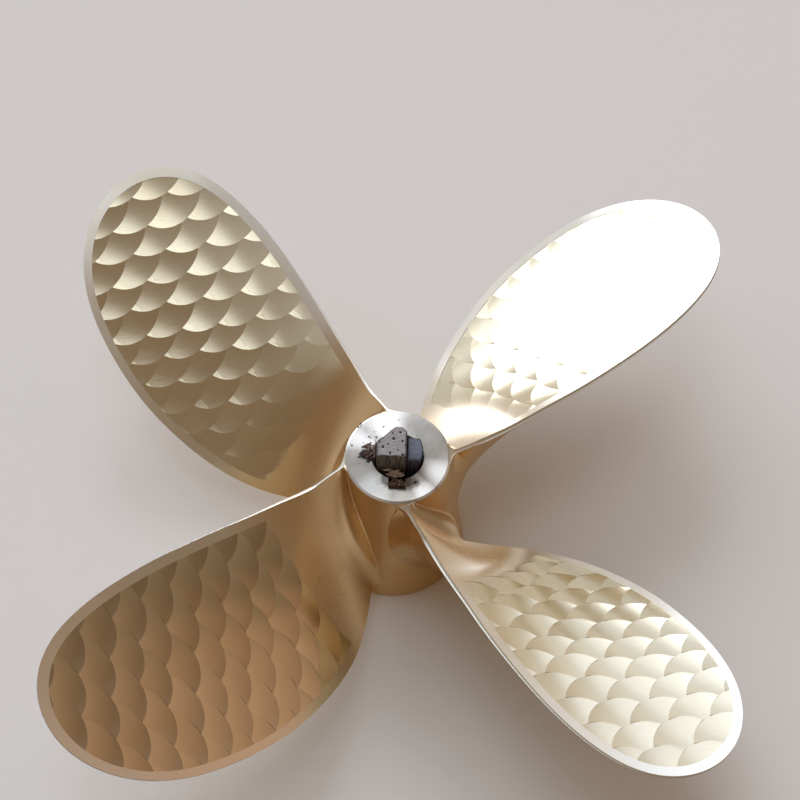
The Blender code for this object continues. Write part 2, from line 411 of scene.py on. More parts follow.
# The scoop that owns each place, and how to move a place that is near a visible border onto it.
def ownScoops(scoops, along, radius):
    owner = np.full(len(along), -1)
    nearest = np.full(len(along), 1.0)
    moveAlong, moveRadius = np.zeros(len(along)), np.zeros(len(along))
    toolRadius = scales["toolRadius"]
    for index, scoop in enumerate(scoops):
        near = np.abs(along - scoop["along"]) < scales["reachAlong"]
        near = np.flatnonzero(near & (np.abs(radius - scoop["radius"]) < scales["reachUp"]))
        if not len(near):
            continue
        side, up = localPlace(scoop, along[near], radius[near])
        side, up = side - scoop["tool"].x, up - scoop["tool"].y
        distance = np.hypot(side, up) + 1e-12
        inside = distance < toolRadius
        gap = np.abs(toolRadius - distance)
        better = inside | (gap < nearest[near])
        chosen = near[better]
        owner[near[inside]] = index
        nearest[chosen] = gap[better]
        scale = (toolRadius - distance[better]) / distance[better]
        moveRadius[chosen] = up[better] * scale
        moveAlong[chosen] = side[better] * scale - scoop["shear"] * up[better] * scale
    return owner, nearest, moveAlong, moveRadius


# What a scoop does at each place: its lift, the place round the tool, how far it is into the corner
# that is painted darker as painted shade, and the slope that is left to shading.
def scoopLift(scoop, along, radius):
    ahead, outward, tilt, hollow = scoop["ahead"], scoop["outward"], scoop["tilt"], scoop["hollow"]
    side, up = localPlace(scoop, along, radius)
    toolSide, toolUp = side - scoop["tool"].x, up - scoop["tool"].y
    arc, stroke = np.hypot(toolSide, toolUp), np.arctan2(toolUp, toolSide)
    intoShadedCorner = np.clip((side - scales["paintedShadeSlope"] * up - scales["paintedShadeFrom"]) / scales["paintedShadeSpan"], 0, 1)
    side, up = side - hollow.x, up - hollow.y
    across, higher = side * ahead.x + up * ahead.y, side * outward.x + up * outward.y
    nearRoot = (scales["tighteningFrom"] - scoop["radius"]) / scales["tighteningSpan"]
    bendAcross = (1 + scales["tightening"] * nearRoot) / scales["dishAcross"]
    bendAlong = 1 / scales["dishAlong"]
    full = across**2 / 2 * bendAcross + higher**2 / 2 * bendAlong
    full += across * tilt[0] + higher * tilt[1] - scoop["depth"]
    climbs = across * bendAcross + tilt[0], higher * bendAlong + tilt[1]
    climbSide = climbs[0] * ahead.x + climbs[1] * outward.x
    climbUp = climbs[0] * ahead.y + climbs[1] * outward.y
    climb = np.stack([climbSide, climbSide * scoop["shear"] + climbUp], -1)
    climb *= np.where(full < scales["highest"], scales["polish"], 1)[:, None]
    return np.minimum(full, scales["highest"]) * (1 - scales["polish"]), arc, stroke, intoShadedCorner, climb


# Points near the smooth band's border or a scoop's border are moved onto it.
def snapToBorders(lattice, band, scoops):
    along, radius, free = lattice["along"], lattice["radius"], ~lattice["fixed"]
    newAlong, newRadius, onBand = snapToOutline(along, radius, band, blade["cell"] / 2)
    onBand &= free
    along, radius = np.where(onBand, newAlong, along), np.where(onBand, newRadius, radius)
    inBand = np.abs(along) < halfWidth(band, radius)
    _, nearest, moveAlong, moveRadius = ownScoops(scoops, along, radius)
    snapped = free & ~onBand & inBand & (nearest < scales["snapShare"] * blade["cell"])
    along[snapped] += moveAlong[snapped]
    radius[snapped] += moveRadius[snapped]
    return along, radius, snapped | onBand


# Square cells are halved along the diagonal that follows a border.
def halveCells(lattice, special, side):
    quads = lattice["quads"]
    flip = special[quads[:, 1]] & special[quads[:, 3]] & ~(special[quads[:, 0]] & special[quads[:, 2]])
    kept, turned = quads[~flip], quads[flip]
    halves = [kept[:, [0, 1, 2]], kept[:, [0, 2, 3]], turned[:, [1, 2, 3]], turned[:, [1, 3, 0]]]
    triangles = np.vstack(halves + [lattice["triangles"]])
    return triangles[:, ::-1] if side == 1 else triangles


# One side of a blade with its scales cut in. Points on a border are doubled, so each scale has its own
# edge, and a low wall joins the two.
def makeSide(lattice, side, pattern, turn):
    pattern = scales["plain"] | pattern
    scoops = makeScoops(pattern)
    band = insetOutline(scales["border"] + blade["edgeRounding"])
    along, radius, special = snapToBorders(lattice, band, scoops)
    triangles = halveCells(lattice, special, side)
    middleAlong, middleRadius = along[triangles].mean(1), radius[triangles].mean(1)
    owner = ownScoops(scoops, middleAlong, middleRadius)[0]
    owner[np.abs(middleAlong) > halfWidth(band, middleRadius)] = -1
    owner[middleRadius < blade["latticeFrom"]] = -1
    corners = np.stack([triangles.ravel(), np.repeat(owner, 3)], -1)
    unique, where = np.unique(corners, axis=0, return_inverse=True)
    along, radius = along[unique[:, 0]], radius[unique[:, 0]]
    lift, arc, stroke, shade, intoShadedCorner = (np.zeros(len(unique)) for _ in range(5))
    climb = np.zeros((len(unique), 2))
    for index in np.unique(owner[owner >= 0]):
        mine = np.flatnonzero(unique[:, 1] == index)
        cut = scoopLift(scoops[index], along[mine], radius[mine])
        lift[mine], arc[mine], stroke[mine], intoShadedCorner[mine], climb[mine] = cut
        shade[mine] = scoops[index]["shade"]
    rising = np.clip((radius - pattern["lowest"] + scales["fadeUnder"]) / scales["fade"], 0, 1)
    rising = rising**2 * (3 - 2 * rising)
    scooped = (unique[:, 1] >= 0) * rising
    lean, level, paintedRimShade = slopesOf(radius, along, side, turn, pattern, climb * rising[:, None])
    return {
        "points": surfacePoints(radius, along, side, lift * rising, turn),
        "triangles": where.reshape(-1, 3),
        "walls": makeWalls(triangles, owner, unique),
        "numberOf": {place: number for number, (place, mark) in enumerate(unique) if mark == -1},
        "scooped": scooped,
        "even": 1 - scooped,
        "shade": shade,
        # Painted shade: darker towards each scale's lower leading corner, and along one blade's leading rim.
        "paintedShade": intoShadedCorner * pattern["paintedShade"] * rising + paintedRimShade * (1 - scooped) * scales["rimPaintedShade"],
        "arc": arc,
        "stroke": stroke,
        # The root's own amber, with lower shares on some blades painting a paler root as painted reflection.
        "amberWithPaintedReflection": np.clip((scales["warmUnder"] - radius) / scales["warmFade"], 0, 1) * pattern["amberUnderPaintedReflection"],
        "lean": lean,
        "level": level,
    }


def unit(rows):
    return rows / np.linalg.norm(rows, axis=1)[:, None]


# The marks follow the hand of whoever ground them, and lean a little against the blade's own surface.
# Returns that lean, the plain surface's normal and how much painted shade the rim takes.
def slopesOf(radius, along, side, turn, pattern, climb):
    step = blade["slopeStep"]

    def spot(up, right):
        return surfacePoints(radius + up, along + right, side, 0, turn)

    ahead = unit(spot(0, step) - spot(0, -step))
    upward = spot(step, 0) - spot(-step, 0)
    level = unit(np.cross(upward, ahead)) * side
    if level[:, 2].mean() * side < 0:
        level *= -1
    upward = unit(upward - ahead * (upward * ahead).sum(1)[:, None])
    angle = smoothValue(radius, scales["leanRadii"], np.radians(scales["leans"]))
    lean = -ahead * np.tan(angle)[:, None] * pattern["lean"]
    rootward = np.clip((scales["rootLeanUnder"] - radius) / scales["rootLeanFade"], 0, 1)
    withinRim = np.minimum(radius - scales["rimLeanFrom"], scales["rimLeanTo"] - radius)
    rimward = np.clip(withinRim / scales["rimLeanFade"], 0, 1) * (along > 0)
    for name, share in (("rootLean", rootward), ("rimLean", rimward)):
        level -= ahead * (math.tan(math.radians(pattern[name])) * share)[:, None]
    lean -= ahead * climb[:, :1] + upward * climb[:, 1:]
    return lean, level, rimward * (pattern["rimLean"] > 0)


# Walls between triangles that share an edge and have different owners.
def makeWalls(triangles, owner, unique):
    starts = triangles[:, [0, 1, 2]].ravel()
    ends = triangles[:, [1, 2, 0]].ravel()
    face = np.repeat(np.arange(len(triangles)), 3)
    key = np.minimum(starts, ends) * (triangles.max() + 1) + np.maximum(starts, ends)
    order = np.argsort(key, kind="stable")
    same = np.flatnonzero(key[order][1:] == key[order][:-1])
    one, other = order[same], order[same + 1]
    differs = owner[face[one]] != owner[face[other]]
    one, other = one[differs], other[differs]
    mark = int(owner.max()) + 2
    codes = unique[:, 0] * mark + unique[:, 1] + 1

    def number(place, holder):
        return np.searchsorted(codes, place * mark + holder + 1)

    mine, theirs = owner[face[one]], owner[face[other]]
    start, end = starts[one], ends[one]
    return np.stack([number(end, mine), number(start, mine), number(start, theirs), number(end, theirs)], -1)


# Order of the lattice's outer points, from the root's trailing corner round the tip to the leading one.
def rimOrder(lattice):
    edges = {}
    for cells in (lattice["quads"], lattice["triangles"]):
        following = np.roll(cells, -1, axis=1)
        for start, end in zip(cells.ravel().tolist(), following.ravel().tolist()):
            if edges.get(end, {}).pop(start, None) is None:
                edges.setdefault(start, {})[end] = True
    steps = {start: next(iter(ends)) for start, ends in edges.items() if ends}
    place = lattice["width"] - 1
    order = [place]
    while place != 0:
        place = steps[place]
        order.append(place)
    return order[::-1]


def meshObject(name, points, faces, values=()):
    mesh = bpy.data.meshes.new(name)
    mesh.from_pydata(points.tolist(), [], faces)
    for label, numbers in values:
        numbers = np.asarray(numbers, np.float32)
        kind, slot = ("FLOAT", "value") if numbers.ndim == 1 else ("FLOAT_VECTOR", "vector")
        attribute = mesh.attributes.new(label, kind, "POINT")
        attribute.data.foreach_set(slot, numbers.ravel())
    made = bpy.data.objects.new(name, mesh)
    bpy.context.scene.collection.objects.link(made)
    return made


def shadeSmooth(made, sharpAngle):
    made.data.shade_smooth()
    made.data.set_sharp_from_angle(angle=math.radians(sharpAngle))


# Rings of points that round a blade's edge, between the rims of its face and its back.
def edgeRings(outer, inner):
    middle, half = (outer + inner) / 2, (outer - inner) / 2
    away = np.cross(np.gradient(outer, axis=0), half)
    away *= -blade["edgeRounding"] / np.linalg.norm(away, axis=1)[:, None]
    turns = [math.pi * step / blade["edgeSteps"] for step in range(1, blade["edgeSteps"])]
    return [middle + half * math.cos(turn) + away * math.sin(turn) for turn in turns]


def makeBlade(number, lattices, order):
    turn = math.radians(blade["firstAngle"] + 360 / blade["count"] * number)
    front = makeSide(lattices[1], 1, scales["faces"][number], turn)
    back = makeSide(lattices[-1], -1, scales["backs"][number], turn)
    shift = len(front["points"])
    count, extra = shift + len(back["points"]), len(order) * (blade["edgeSteps"] - 1)
    frontRim = np.array([front["numberOf"][place] for place in order])
    backRim = np.array([back["numberOf"][place] for place in order])
    edge = edgeRings(front["points"][frontRim], back["points"][backRim])
    rings = [frontRim, *np.arange(count, count + extra).reshape(-1, len(order)), backRim + shift]
    faces = front["triangles"].tolist() + front["walls"].tolist()
    faces += (back["triangles"] + shift).tolist() + (back["walls"] + shift).tolist()
    for ring, following in zip(rings, rings[1:]):
        faces += np.stack([ring[:-1], following[:-1], following[1:], ring[1:]], -1).tolist()
    width = lattices[1]["width"]
    frontFoot = [front["numberOf"][place] for place in range(width)]
    backFoot = [back["numberOf"][place] + shift for place in range(width)]
    leading, trailing = [ring[-1] for ring in rings[1:-1]], [ring[0] for ring in rings[1:-1]]
    faces.append([int(point) for point in frontFoot + leading + backFoot[::-1] + trailing[::-1]])
    values = [("edge", np.arange(count + extra) >= count)]
    for label in ("scooped", "shade", "arc", "stroke", "amberWithPaintedReflection", "paintedShade", "even"):
        values.append((label, np.concatenate([front[label], back[label], np.zeros(extra)])))
    for label in ("lean", "level"):
        values.append((label, np.vstack([front[label], back[label], np.zeros((extra, 3))])))
    points = np.vstack([front["points"], back["points"], *edge])
    made = meshObject(f"blade_{number + 1}", points, faces, values)
    counts = [len(part[kind]) for part in (front, back) for kind in ("triangles", "walls")]
    counts.append(len(faces) - sum(counts))
    ridge = np.repeat(np.float32([0, 1, 0, 1, 0]), counts)
    made.data.attributes.new("ridge", "FLOAT", "FACE").data.foreach_set("value", ridge)
    shadeSmooth(made, blade["sharpAngle"])
    return made


# Faces between two closed rings of points that start at these numbers.
def ringFaces(low, high, sides):
    return [(low + k, low + (k + 1) % sides, high + (k + 1) % sides, high + k) for k in range(sides)]


def makeHub(sideLook, faceLook, boreLook):
    length, chamfer, small, sides = hub["length"], hub["rimChamfer"], hub["boreChamfer"], hub["sides"]
    rim = hubRadius(length) - chamfer
    profile = [(boreRadius(0) + small, 0), (hubRadius(0) - chamfer, 0)]
    profile += [(hubRadius(z), z) for z in np.linspace(chamfer, length - chamfer, hub["sideRows"])]
    profile += [(r, length) for r in np.linspace(rim, boreRadius(length) + small, hub["faceRings"])]
    profile += [(boreRadius(z), z) for z in np.linspace(length - small, small, hub["boreRows"])]
    turns = np.arange(sides) * 2 * math.pi / sides
    points = np.array([(r * math.cos(t), r * math.sin(t), z) for r, z in profile for t in turns])
    faces = []
    for row in range(len(profile)):
        faces += ringFaces(row * sides, (row + 1) % len(profile) * sides, sides)
    made = meshObject("hub", points, faces)
    slot = meshObject("keyway_shape", *keywayShape())
    cut = made.modifiers.new("keyway", "BOOLEAN")
    cut.operation = "DIFFERENCE"
    cut.solver = "EXACT"
    cut.object = slot
    applyModifiers(made)
    bpy.data.objects.remove(slot)
    shadeSmooth(made, hub["sharpAngle"])
    for look in (sideLook, faceLook, boreLook):
        made.data.materials.append(look)
    boreReach = boreRadius(0) + hub["keywayDepth"] + hub["boreMargin"]
    for face in made.data.polygons:
        distance, height = math.hypot(face.center.x, face.center.y), face.center.z
        if height > length - chamfer and face.normal.z > hub["facingUp"]:
            face.material_index = 1
        elif distance < boreReach and height > hub["footMargin"]:
            face.material_index = 2
    return made


# A block in the keyway's shape, which widens towards the aft face.
def keywayShape():
    half, flare, length, points = hub["keywayWidth"] / 2, hub["keywayFlare"], hub["length"], []
    for height, wider in ((-hub["keywayPast"], 0), (length - flare, 0), (length + flare, 2 * flare)):
        floor = -(boreRadius(height) + hub["keywayDepth"] + wider * hub["flareDown"])
        side = half + wider * hub["flareAside"]
        points += [(-side, 0, height), (-side, floor, height), (side, floor, height), (side, 0, height)]
    faces = [(3, 2, 1, 0), (8, 9, 10, 11)]
    for low in (0, 4):
        for corner in range(4):
            after = (corner + 1) % 4
            faces.append((low + 4 + after, low + 4 + corner, low + corner, low + after))
    return np.array(points), faces


def applyModifiers(item):
    graph = bpy.context.evaluated_depsgraph_get()
    made = bpy.data.meshes.new_from_object(item.evaluated_get(graph))
    old = item.data
    item.modifiers.clear()
    item.data = made
    bpy.data.meshes.remove(old)


def newMaterial(name):
    made = bpy.data.materials.new(name)
    made.use_nodes = True
    tree = made.node_tree
    return made, tree, tree.nodes["Principled BSDF"]


# Gives a socket a number or a colour, or links another node's output to it.
def feed(tree, value, socket):
    if isinstance(value, (int, float, tuple)):
        socket.default_value = value
    elif value is not None:
        tree.links.new(value, socket)


# A shader node with its settings and what goes into its sockets, in their order. Returns its output.
def addNode(tree, kind, settings, *values):
    node = tree.nodes.new("ShaderNode" + kind)
    for name, setting in settings.items():
        setattr(node, name, setting)
    for socket, value in zip([socket for socket in node.inputs if socket.enabled], values):
        feed(tree, value, socket)
    return [output for output in node.outputs if output.enabled][0]


def readAttribute(tree, name, output="Fac"):
    node = tree.nodes.new("ShaderNodeAttribute")
    node.attribute_name = name
    return node.outputs[output]


def mathNode(tree, operation, first, second=None):
    return addNode(tree, "Math", {"operation": operation}, first, second)


def vectorNode(tree, operation, first, second=None):
    return addNode(tree, "VectorMath", {"operation": operation}, first, second)


def noiseNode(tree, vector, scale, detail=3.0, roughness=0.5):
    return addNode(tree, "TexNoise", {}, vector, scale, detail, roughness)


def rangeNode(tree, value, low, high, toLow, toHigh, kind="LINEAR"):
    return addNode(tree, "MapRange", {"interpolation_type": kind}, value, low, high, toLow, toHigh)


def mixColours(tree, share, first, second, kind="RGBA"):
    return addNode(tree, "Mix", {"data_type": kind}, share, first, second)


def objectPlace(tree, scale=(1, 1, 1)):
    place = tree.nodes.new("ShaderNodeTexCoord")
    mapping = tree.nodes.new("ShaderNodeMapping")
    mapping.inputs["Scale"].default_value = scale
    feed(tree, place.outputs["Object"], mapping.inputs["Vector"])
    return mapping.outputs["Vector"]


# Feeds the shader's sockets, and bumps its surface by a height from 0 to 1 times a distance.
def setLooks(tree, shader, looks, height, distance, normal=None):
    bump = tree.nodes.new("ShaderNodeBump")
    for name, value in (("Distance", distance), ("Height", height), ("Normal", normal)):
        feed(tree, value, bump.inputs[name])
    for name, value in (looks | {"Normal": bump.outputs["Normal"]}).items():
        feed(tree, value, shader.inputs[name])


# In this and the later looks a noise is given by its scale, detail and roughness, and a range by two
# values of what goes in and the two that come out for them.
bronze = {
    "rim": (0.86, 0.80, 0.660, 1.0),
    "ground": (0.80, 0.700, 0.485, 1.0),
    "polished": (0.72, 0.500, 0.255, 1.0),
    "shade": (0.55, 0.44, 0.27, 1.0),
    "stain": (0.60, 0.42, 0.20, 1.0),
    # The colour of painted shade, on each scale's far corner and on one rim.
    "paintedShade": (0.30, 0.20, 0.11, 1.0),
    "edge": (0.82, 0.77, 0.64, 1.0),
    "warmed": 0.45,
    "shaded": (0.0, 1.0, 0.0, 0.20),
    "stained": (0.50, 0.72, 0.0, 0.22),
    "groundRoughness": (0.3, 0.7, 0.13, 0.20),
    "polishedRoughness": (0.35, 0.7, 0.22, 0.34),
    "edgeRoughness": (0.50, 0.50, 0.50, 1.0),
    "blotches": (14.0, 4.0),
    "fine": (900.0, 2.0),
    "scratches": (1.0, 5.0, 0.65),
    "scratchPlace": (("arc", 900.0), ("stroke", 2.2), ("shade", 40.0)),  # across, along and scale by scale
    "scratchHeight": 0.000012,
}


# The ground scales are paler than the polished root, and carry fine scratches round the tool's centre.
def bladeMaterial():
    made, tree, shader = newMaterial("scaled_bronze")
    names = ("scooped", "shade", "amberWithPaintedReflection", "paintedShade", "edge", "ridge")
    scooped, shade, amberWithPaintedReflection, paintedShade, edge, ridge = (readAttribute(tree, name) for name in names)
    place = objectPlace(tree)
    blotches, fine = noiseNode(tree, place, *bronze["blotches"]), noiseNode(tree, place, *bronze["fine"])
    layers = (
        (scooped, "ground"),
        (mathNode(tree, "MULTIPLY", amberWithPaintedReflection, bronze["warmed"]), "polished"),
        (rangeNode(tree, shade, *bronze["shaded"]), "shade"),
        (rangeNode(tree, blotches, *bronze["stained"]), "stain"),
        # painted shade, darker at each scale's far corner and along one rim
        (paintedShade, "paintedShade"),
        (edge, "edge"),
    )
    # The root's own amber, kept less on some blades as painted reflection.
    colour = mixColours(tree, amberWithPaintedReflection, bronze["rim"], bronze["polished"])
    for share, name in layers:
        colour = mixColours(tree, share, colour, bronze[name])
    turned = []
    for name, size in bronze["scratchPlace"]:
        turned.append(mathNode(tree, "MULTIPLY", readAttribute(tree, name), size))
    scratches = noiseNode(tree, addNode(tree, "CombineXYZ", {}, *turned), *bronze["scratches"])
    ground = rangeNode(tree, scratches, *bronze["groundRoughness"])
    polished = rangeNode(tree, blotches, *bronze["polishedRoughness"])
    rough = mixColours(tree, scooped, polished, ground)
    rough = mixColours(tree, mathNode(tree, "MAXIMUM", edge, ridge), rough, bronze["edgeRoughness"])
    normal = tree.nodes.new("ShaderNodeNewGeometry").outputs["Normal"]
    leaning = vectorNode(tree, "ADD", normal, readAttribute(tree, "lean", "Vector"))
    even = mathNode(tree, "MAXIMUM", readAttribute(tree, "even"), ridge)
    steady = mixColours(tree, even, leaning, readAttribute(tree, "level", "Vector"), "VECTOR")
    looks = {"Metallic": 1.0, "Base Color": colour, "Roughness": rough}
    height = mixColours(tree, scooped, fine, scratches)
    setLooks(tree, shader, looks, height, bronze["scratchHeight"], vectorNode(tree, "NORMALIZE", steady))
    return made


barrel = {
    "stain": (0.60, 0.36, 0.13, 1.0),
    "stained": (0.42, 0.70, 0.0, 0.5),
    "roughness": (0.3, 0.7, 0.34, 0.48),
    "blotches": (22.0, 4.0),
    "marks": (120.0, 4.0, 0.6),
    "marksStretch": (1.0, 1.0, 0.25),
    "marksHeight": 0.00006,
}


# The hub's side was ground by hand down its length, so its marks run steeply.
def hubMaterial():
    made, tree, shader = newMaterial("hub_bronze")
    blotches = noiseNode(tree, objectPlace(tree), *barrel["blotches"])
    marks = noiseNode(tree, objectPlace(tree, barrel["marksStretch"]), *barrel["marks"])
    stained = rangeNode(tree, blotches, *barrel["stained"])
    looks = {
        "Metallic": 1.0,
        "Base Color": mixColours(tree, stained, bronze["polished"], barrel["stain"]),
        "Roughness": rangeNode(tree, blotches, *barrel["roughness"]),
    }
    setLooks(tree, shader, looks, marks, barrel["marksHeight"])
    return made


dustyBore = {
    "metallic": 0.35,
    "bare": (0.34, 0.26, 0.20, 1.0),
    "dusty": (0.60, 0.52, 0.45, 1.0),
    "dustedAndShaded": (0.35, 0.65, 0.0, 1.0),
    "roughness": (0.3, 0.7, 0.45, 0.75),
    "dustAndShade": (160.0, 5.0, 0.6),
    "dustHeight": 0.0001,
}


# The bore and keyway are dull and dusty.
def boreMaterial():
    made, tree, shader = newMaterial("dusty_bore")
    dustAndShade = noiseNode(tree, objectPlace(tree), *dustyBore["dustAndShade"])
    dustedAndShaded = rangeNode(tree, dustAndShade, *dustyBore["dustedAndShaded"])
    looks = {
        "Metallic": dustyBore["metallic"],
        "Base Color": mixColours(tree, dustedAndShaded, dustyBore["bare"], dustyBore["dusty"]),
        "Roughness": rangeNode(tree, dustAndShade, *dustyBore["roughness"]),
    }
    setLooks(tree, shader, looks, dustAndShade, dustyBore["dustHeight"])
    return made


aftFace = {
    "colour": (0.57, 0.525, 0.450, 1.0),
    "stain": (0.40, 0.355, 0.295, 1.0),
    "stained": (0.45, 0.75, 0.0, 0.75),
    "roughness": (0.3, 0.7, 0.31, 0.46),
    "blotches": (60.0, 5.0, 0.6),
    "paintedHighlight": (0.96, 0.92, 0.83, 1.0),
    "paintedHighlightShare": 0.85,
    # The middle of each painted highlight sector, and how far from it the sector is full and ends.
    "sectors": ((108, 8, 34), (157, 4, 18), (-20, 4, 20), (-55, 2, 14), (-122, 6, 26)),
    "stretch": 0.95,
    "stretchTurn": 0.25,
    "grooves": 2600.0,
    "grooveHeight": 0.000012,
    # The colour of the painted shade under the bore: a dark, dull patch.
    "dustAndShade": (0.085, 0.060, 0.046, 1.0),
    "shadeMiddle": (0.0028, -0.0215, 0.1364),
    "shadeReach": (0.0195, 0.0098, 1.0),
    "shadeBreaks": (260.0, 3.0),
    "ragged": (0.3, 0.7, -0.15, 0.15),
    "dustedAndShaded": (1.0, 0.5, 0.0, 0.92),
    "dulling": (0.0, 0.9, 1.0, 0.0),
}


# A patch of painted shade under the bore, dark and dull: thick in its middle and nothing past its reach, with
# a broken border.
def paintedShadeShare(tree):
    away = vectorNode(tree, "SUBTRACT", objectPlace(tree), aftFace["shadeMiddle"])
    distance = vectorNode(tree, "LENGTH", vectorNode(tree, "DIVIDE", away, aftFace["shadeReach"]))
    breaks = noiseNode(tree, objectPlace(tree), *aftFace["shadeBreaks"])
    ragged = mathNode(tree, "ADD", distance, rangeNode(tree, breaks, *aftFace["ragged"]))
    return rangeNode(tree, ragged, *aftFace["dustedAndShaded"])


# The aft face is turned: fine rings round the bore stretch each highlight into a ray, and bright rays are
# painted on as painted highlights.
def silverMaterial():
    made, tree, shader = newMaterial("machined_face")
    place = objectPlace(tree)
    flat = vectorNode(tree, "MULTIPLY", place, (1, 1, 0))
    ring = mathNode(tree, "MULTIPLY", vectorNode(tree, "LENGTH", flat), aftFace["grooves"])
    rings = noiseNode(tree, addNode(tree, "CombineXYZ", {}, ring), 1.0)
    blotches = noiseNode(tree, place, *aftFace["blotches"])
    stained = rangeNode(tree, blotches, *aftFace["stained"])
    colour = mixColours(tree, stained, aftFace["colour"], aftFace["stain"])
    outward = vectorNode(tree, "NORMALIZE", flat)
    # Painted highlight: the face is painted brighter in these sectors round the bore.
    for angles in aftFace["sectors"]:
        middle, full, end = (math.radians(angle) for angle in angles)
        toward = vectorNode(tree, "DOT_PRODUCT", outward, (math.cos(middle), math.sin(middle), 0))
        inside = rangeNode(tree, toward, math.cos(end), math.cos(full), 0.0, aftFace["paintedHighlightShare"])
        colour = mixColours(tree, inside, colour, aftFace["paintedHighlight"])
    # Painted shade: below the bore the face turns dark, dull and unmetallic.
    dustAndShade = paintedShadeShare(tree)
    looks = {
        "Metallic": rangeNode(tree, dustAndShade, *aftFace["dulling"]),
        "Base Color": mixColours(tree, dustAndShade, colour, aftFace["dustAndShade"]),
        "Roughness": mathNode(tree, "MAXIMUM", rangeNode(tree, blotches, *aftFace["roughness"]), dustAndShade),
        "Anisotropic": aftFace["stretch"],
        "Anisotropic Rotation": aftFace["stretchTurn"],
        "Tangent": addNode(tree, "Tangent", {"direction_type": "RADIAL", "axis": "Z"}),
    }
    setLooks(tree, shader, looks, rings, aftFace["grooveHeight"])
    return made


# The baulk and its wedge and shim, sawn and weathered. Plans are (x, y) and stand where the CAD solids do.
timber = {
    "step": 0.00055,
    "coarseStep": 0.0040,
    "fineDepth": 0.026,  # the sides are finely divided this far down
    "fineStretch": 1.4,
    "edge": 0.0009,
    "grain": 0.00022,
    "fibre": (9, 0.5, 160),  # stretch across and down, and scale
    "coarse": (1, 0.4, 120),
    "coarseShare": 0.8,
    "chipOver": 0.25,
    "chipDepth": 0.003,
    "rimGap": 0.6,  # share of a step that the top's points keep from its rim
    "sharpAngle": 50,
    "post": {
        "plan": (
            (-0.0172, -0.0100), (0.0068, -0.0100), (0.0068, 0.0132),
            (0.0028, 0.0172), (-0.0032, 0.0172), (-0.0172, 0.0032),
        ),
        "rounding": 0.0007,
        "spacing": 1.3,
        "foot": 0.0,
        "top": 0.1544,
        "noisePlace": 1.0,
        "dip": 0.00012,
        "waves": ((0.00012, 0, 700), (0.00010, 3, 1900)),  # height, place in the noise and scale
        "pitDepth": 0.0012,
        "pitSizes": (0.0006, 0.0008, 0.0010),
        "pits": (
            (-14, 9), (-9, 10), (-5, 16), (-5, 11), (1, 12), (-4, 6), (-8, 1),
            (3, 4), (-12, -2), (0, -4), (-6, -7), (4, -8), (-15, 2),
        ),
    },
    "wedge": {
        "inner": 0.0071,
        "outer": 0.0202,
        "from": -27,
        "to": 32,
        "arcSteps": 7,
        "rounding": 0.0006,
        "spacing": 1.3,
        "foot": 0.0664,
        "top": 0.1489,
        "footWidth": 0.0040,
        "noisePlace": 5.0,
        "dip": 0.00014,
        "waves": ((0.00022, 7, 420),),
        "fallRight": 0.0010,
        "fallRightOver": 0.012,
        "fallFront": 0.0016,
        "fallFrontOver": 0.009,
    },
    "shim": {
        "plan": ((-0.0195, -0.0048), (-0.0176, -0.0050), (-0.0175, 0.0050), (-0.0195, 0.0048)),
        "rounding": 0.0003,
        "spacing": 1.0,
        "foot": 0.0864,
        "top": 0.1424,
        "noisePlace": 9.0,
        "splitStretch": 6,
        "split": (0.0012, 2, 900),
        "broken": (0.0011, 9, 260),
        "brokenOver": 0.3,
    },
}


def grain(x, y, z, scale):
    return noise.noise(Vector((x, y, z)) * scale)


def sideGrain(place, height, shift, kind):
    across, down, scale = timber[kind]
    return grain(place.x * across, place.y * across, height * down + shift, scale)


# A plan with its corners rounded, divided into even steps, anticlockwise.
def softOutline(corners, look):
    corners, step = [Vector(c) for c in corners], timber["step"] * look["spacing"]
    rough = []
    for index, corner in enumerate(corners):
        before, after = corners[index - 1], corners[(index + 1) % len(corners)]
        start = corner + (before - corner).normalized() * look["rounding"]
        end = corner + (after - corner).normalized() * look["rounding"]
        for share in (0, 0.33, 0.67, 1):
            rough.append(start * (1 - share) ** 2 + corner * 2 * share * (1 - share) + end * share**2)
    points = []
    for point, following in zip(rough, rough[1:] + rough[:1]):
        count = max(1, round((following - point).length / step))
        points += [point.lerp(following, k / count) for k in range(count)]
    return points


def outwardAt(outline):
    sides = []
    for index in range(len(outline)):
        along = outline[(index + 1) % len(outline)] - outline[index - 1]
        sides.append(Vector((along.y, -along.x)).normalized())
    return sides


def isInside(point, outline):
    inside = False
    for one, other in zip(outline, outline[1:] + outline[:1]):
        if (one.y > point.y) != (other.y > point.y):
            if point.x < one.x + (point.y - one.y) * (other.x - one.x) / (other.y - one.y):
                inside = not inside
    return inside


# Depths of the rows of points down a baulk's side, and how far each is inset by the worn upper edge.
def sideRows(height):
    edge, turns = timber["edge"], [math.radians(turn) for turn in (0, 30, 60, 90)]
    depths = [edge * (1 - math.cos(turn)) for turn in turns]
    insets = [edge * (1 - math.sin(turn)) for turn in turns]
    while depths[-1] < timber["fineDepth"]:
        depths.append(depths[-1] + timber["step"] * timber["fineStretch"])
    while depths[-1] < height - timber["coarseStep"]:
        depths.append(depths[-1] + timber["coarseStep"])
    depths.append(height)
    return depths, insets + [0] * (len(depths) - len(insets))


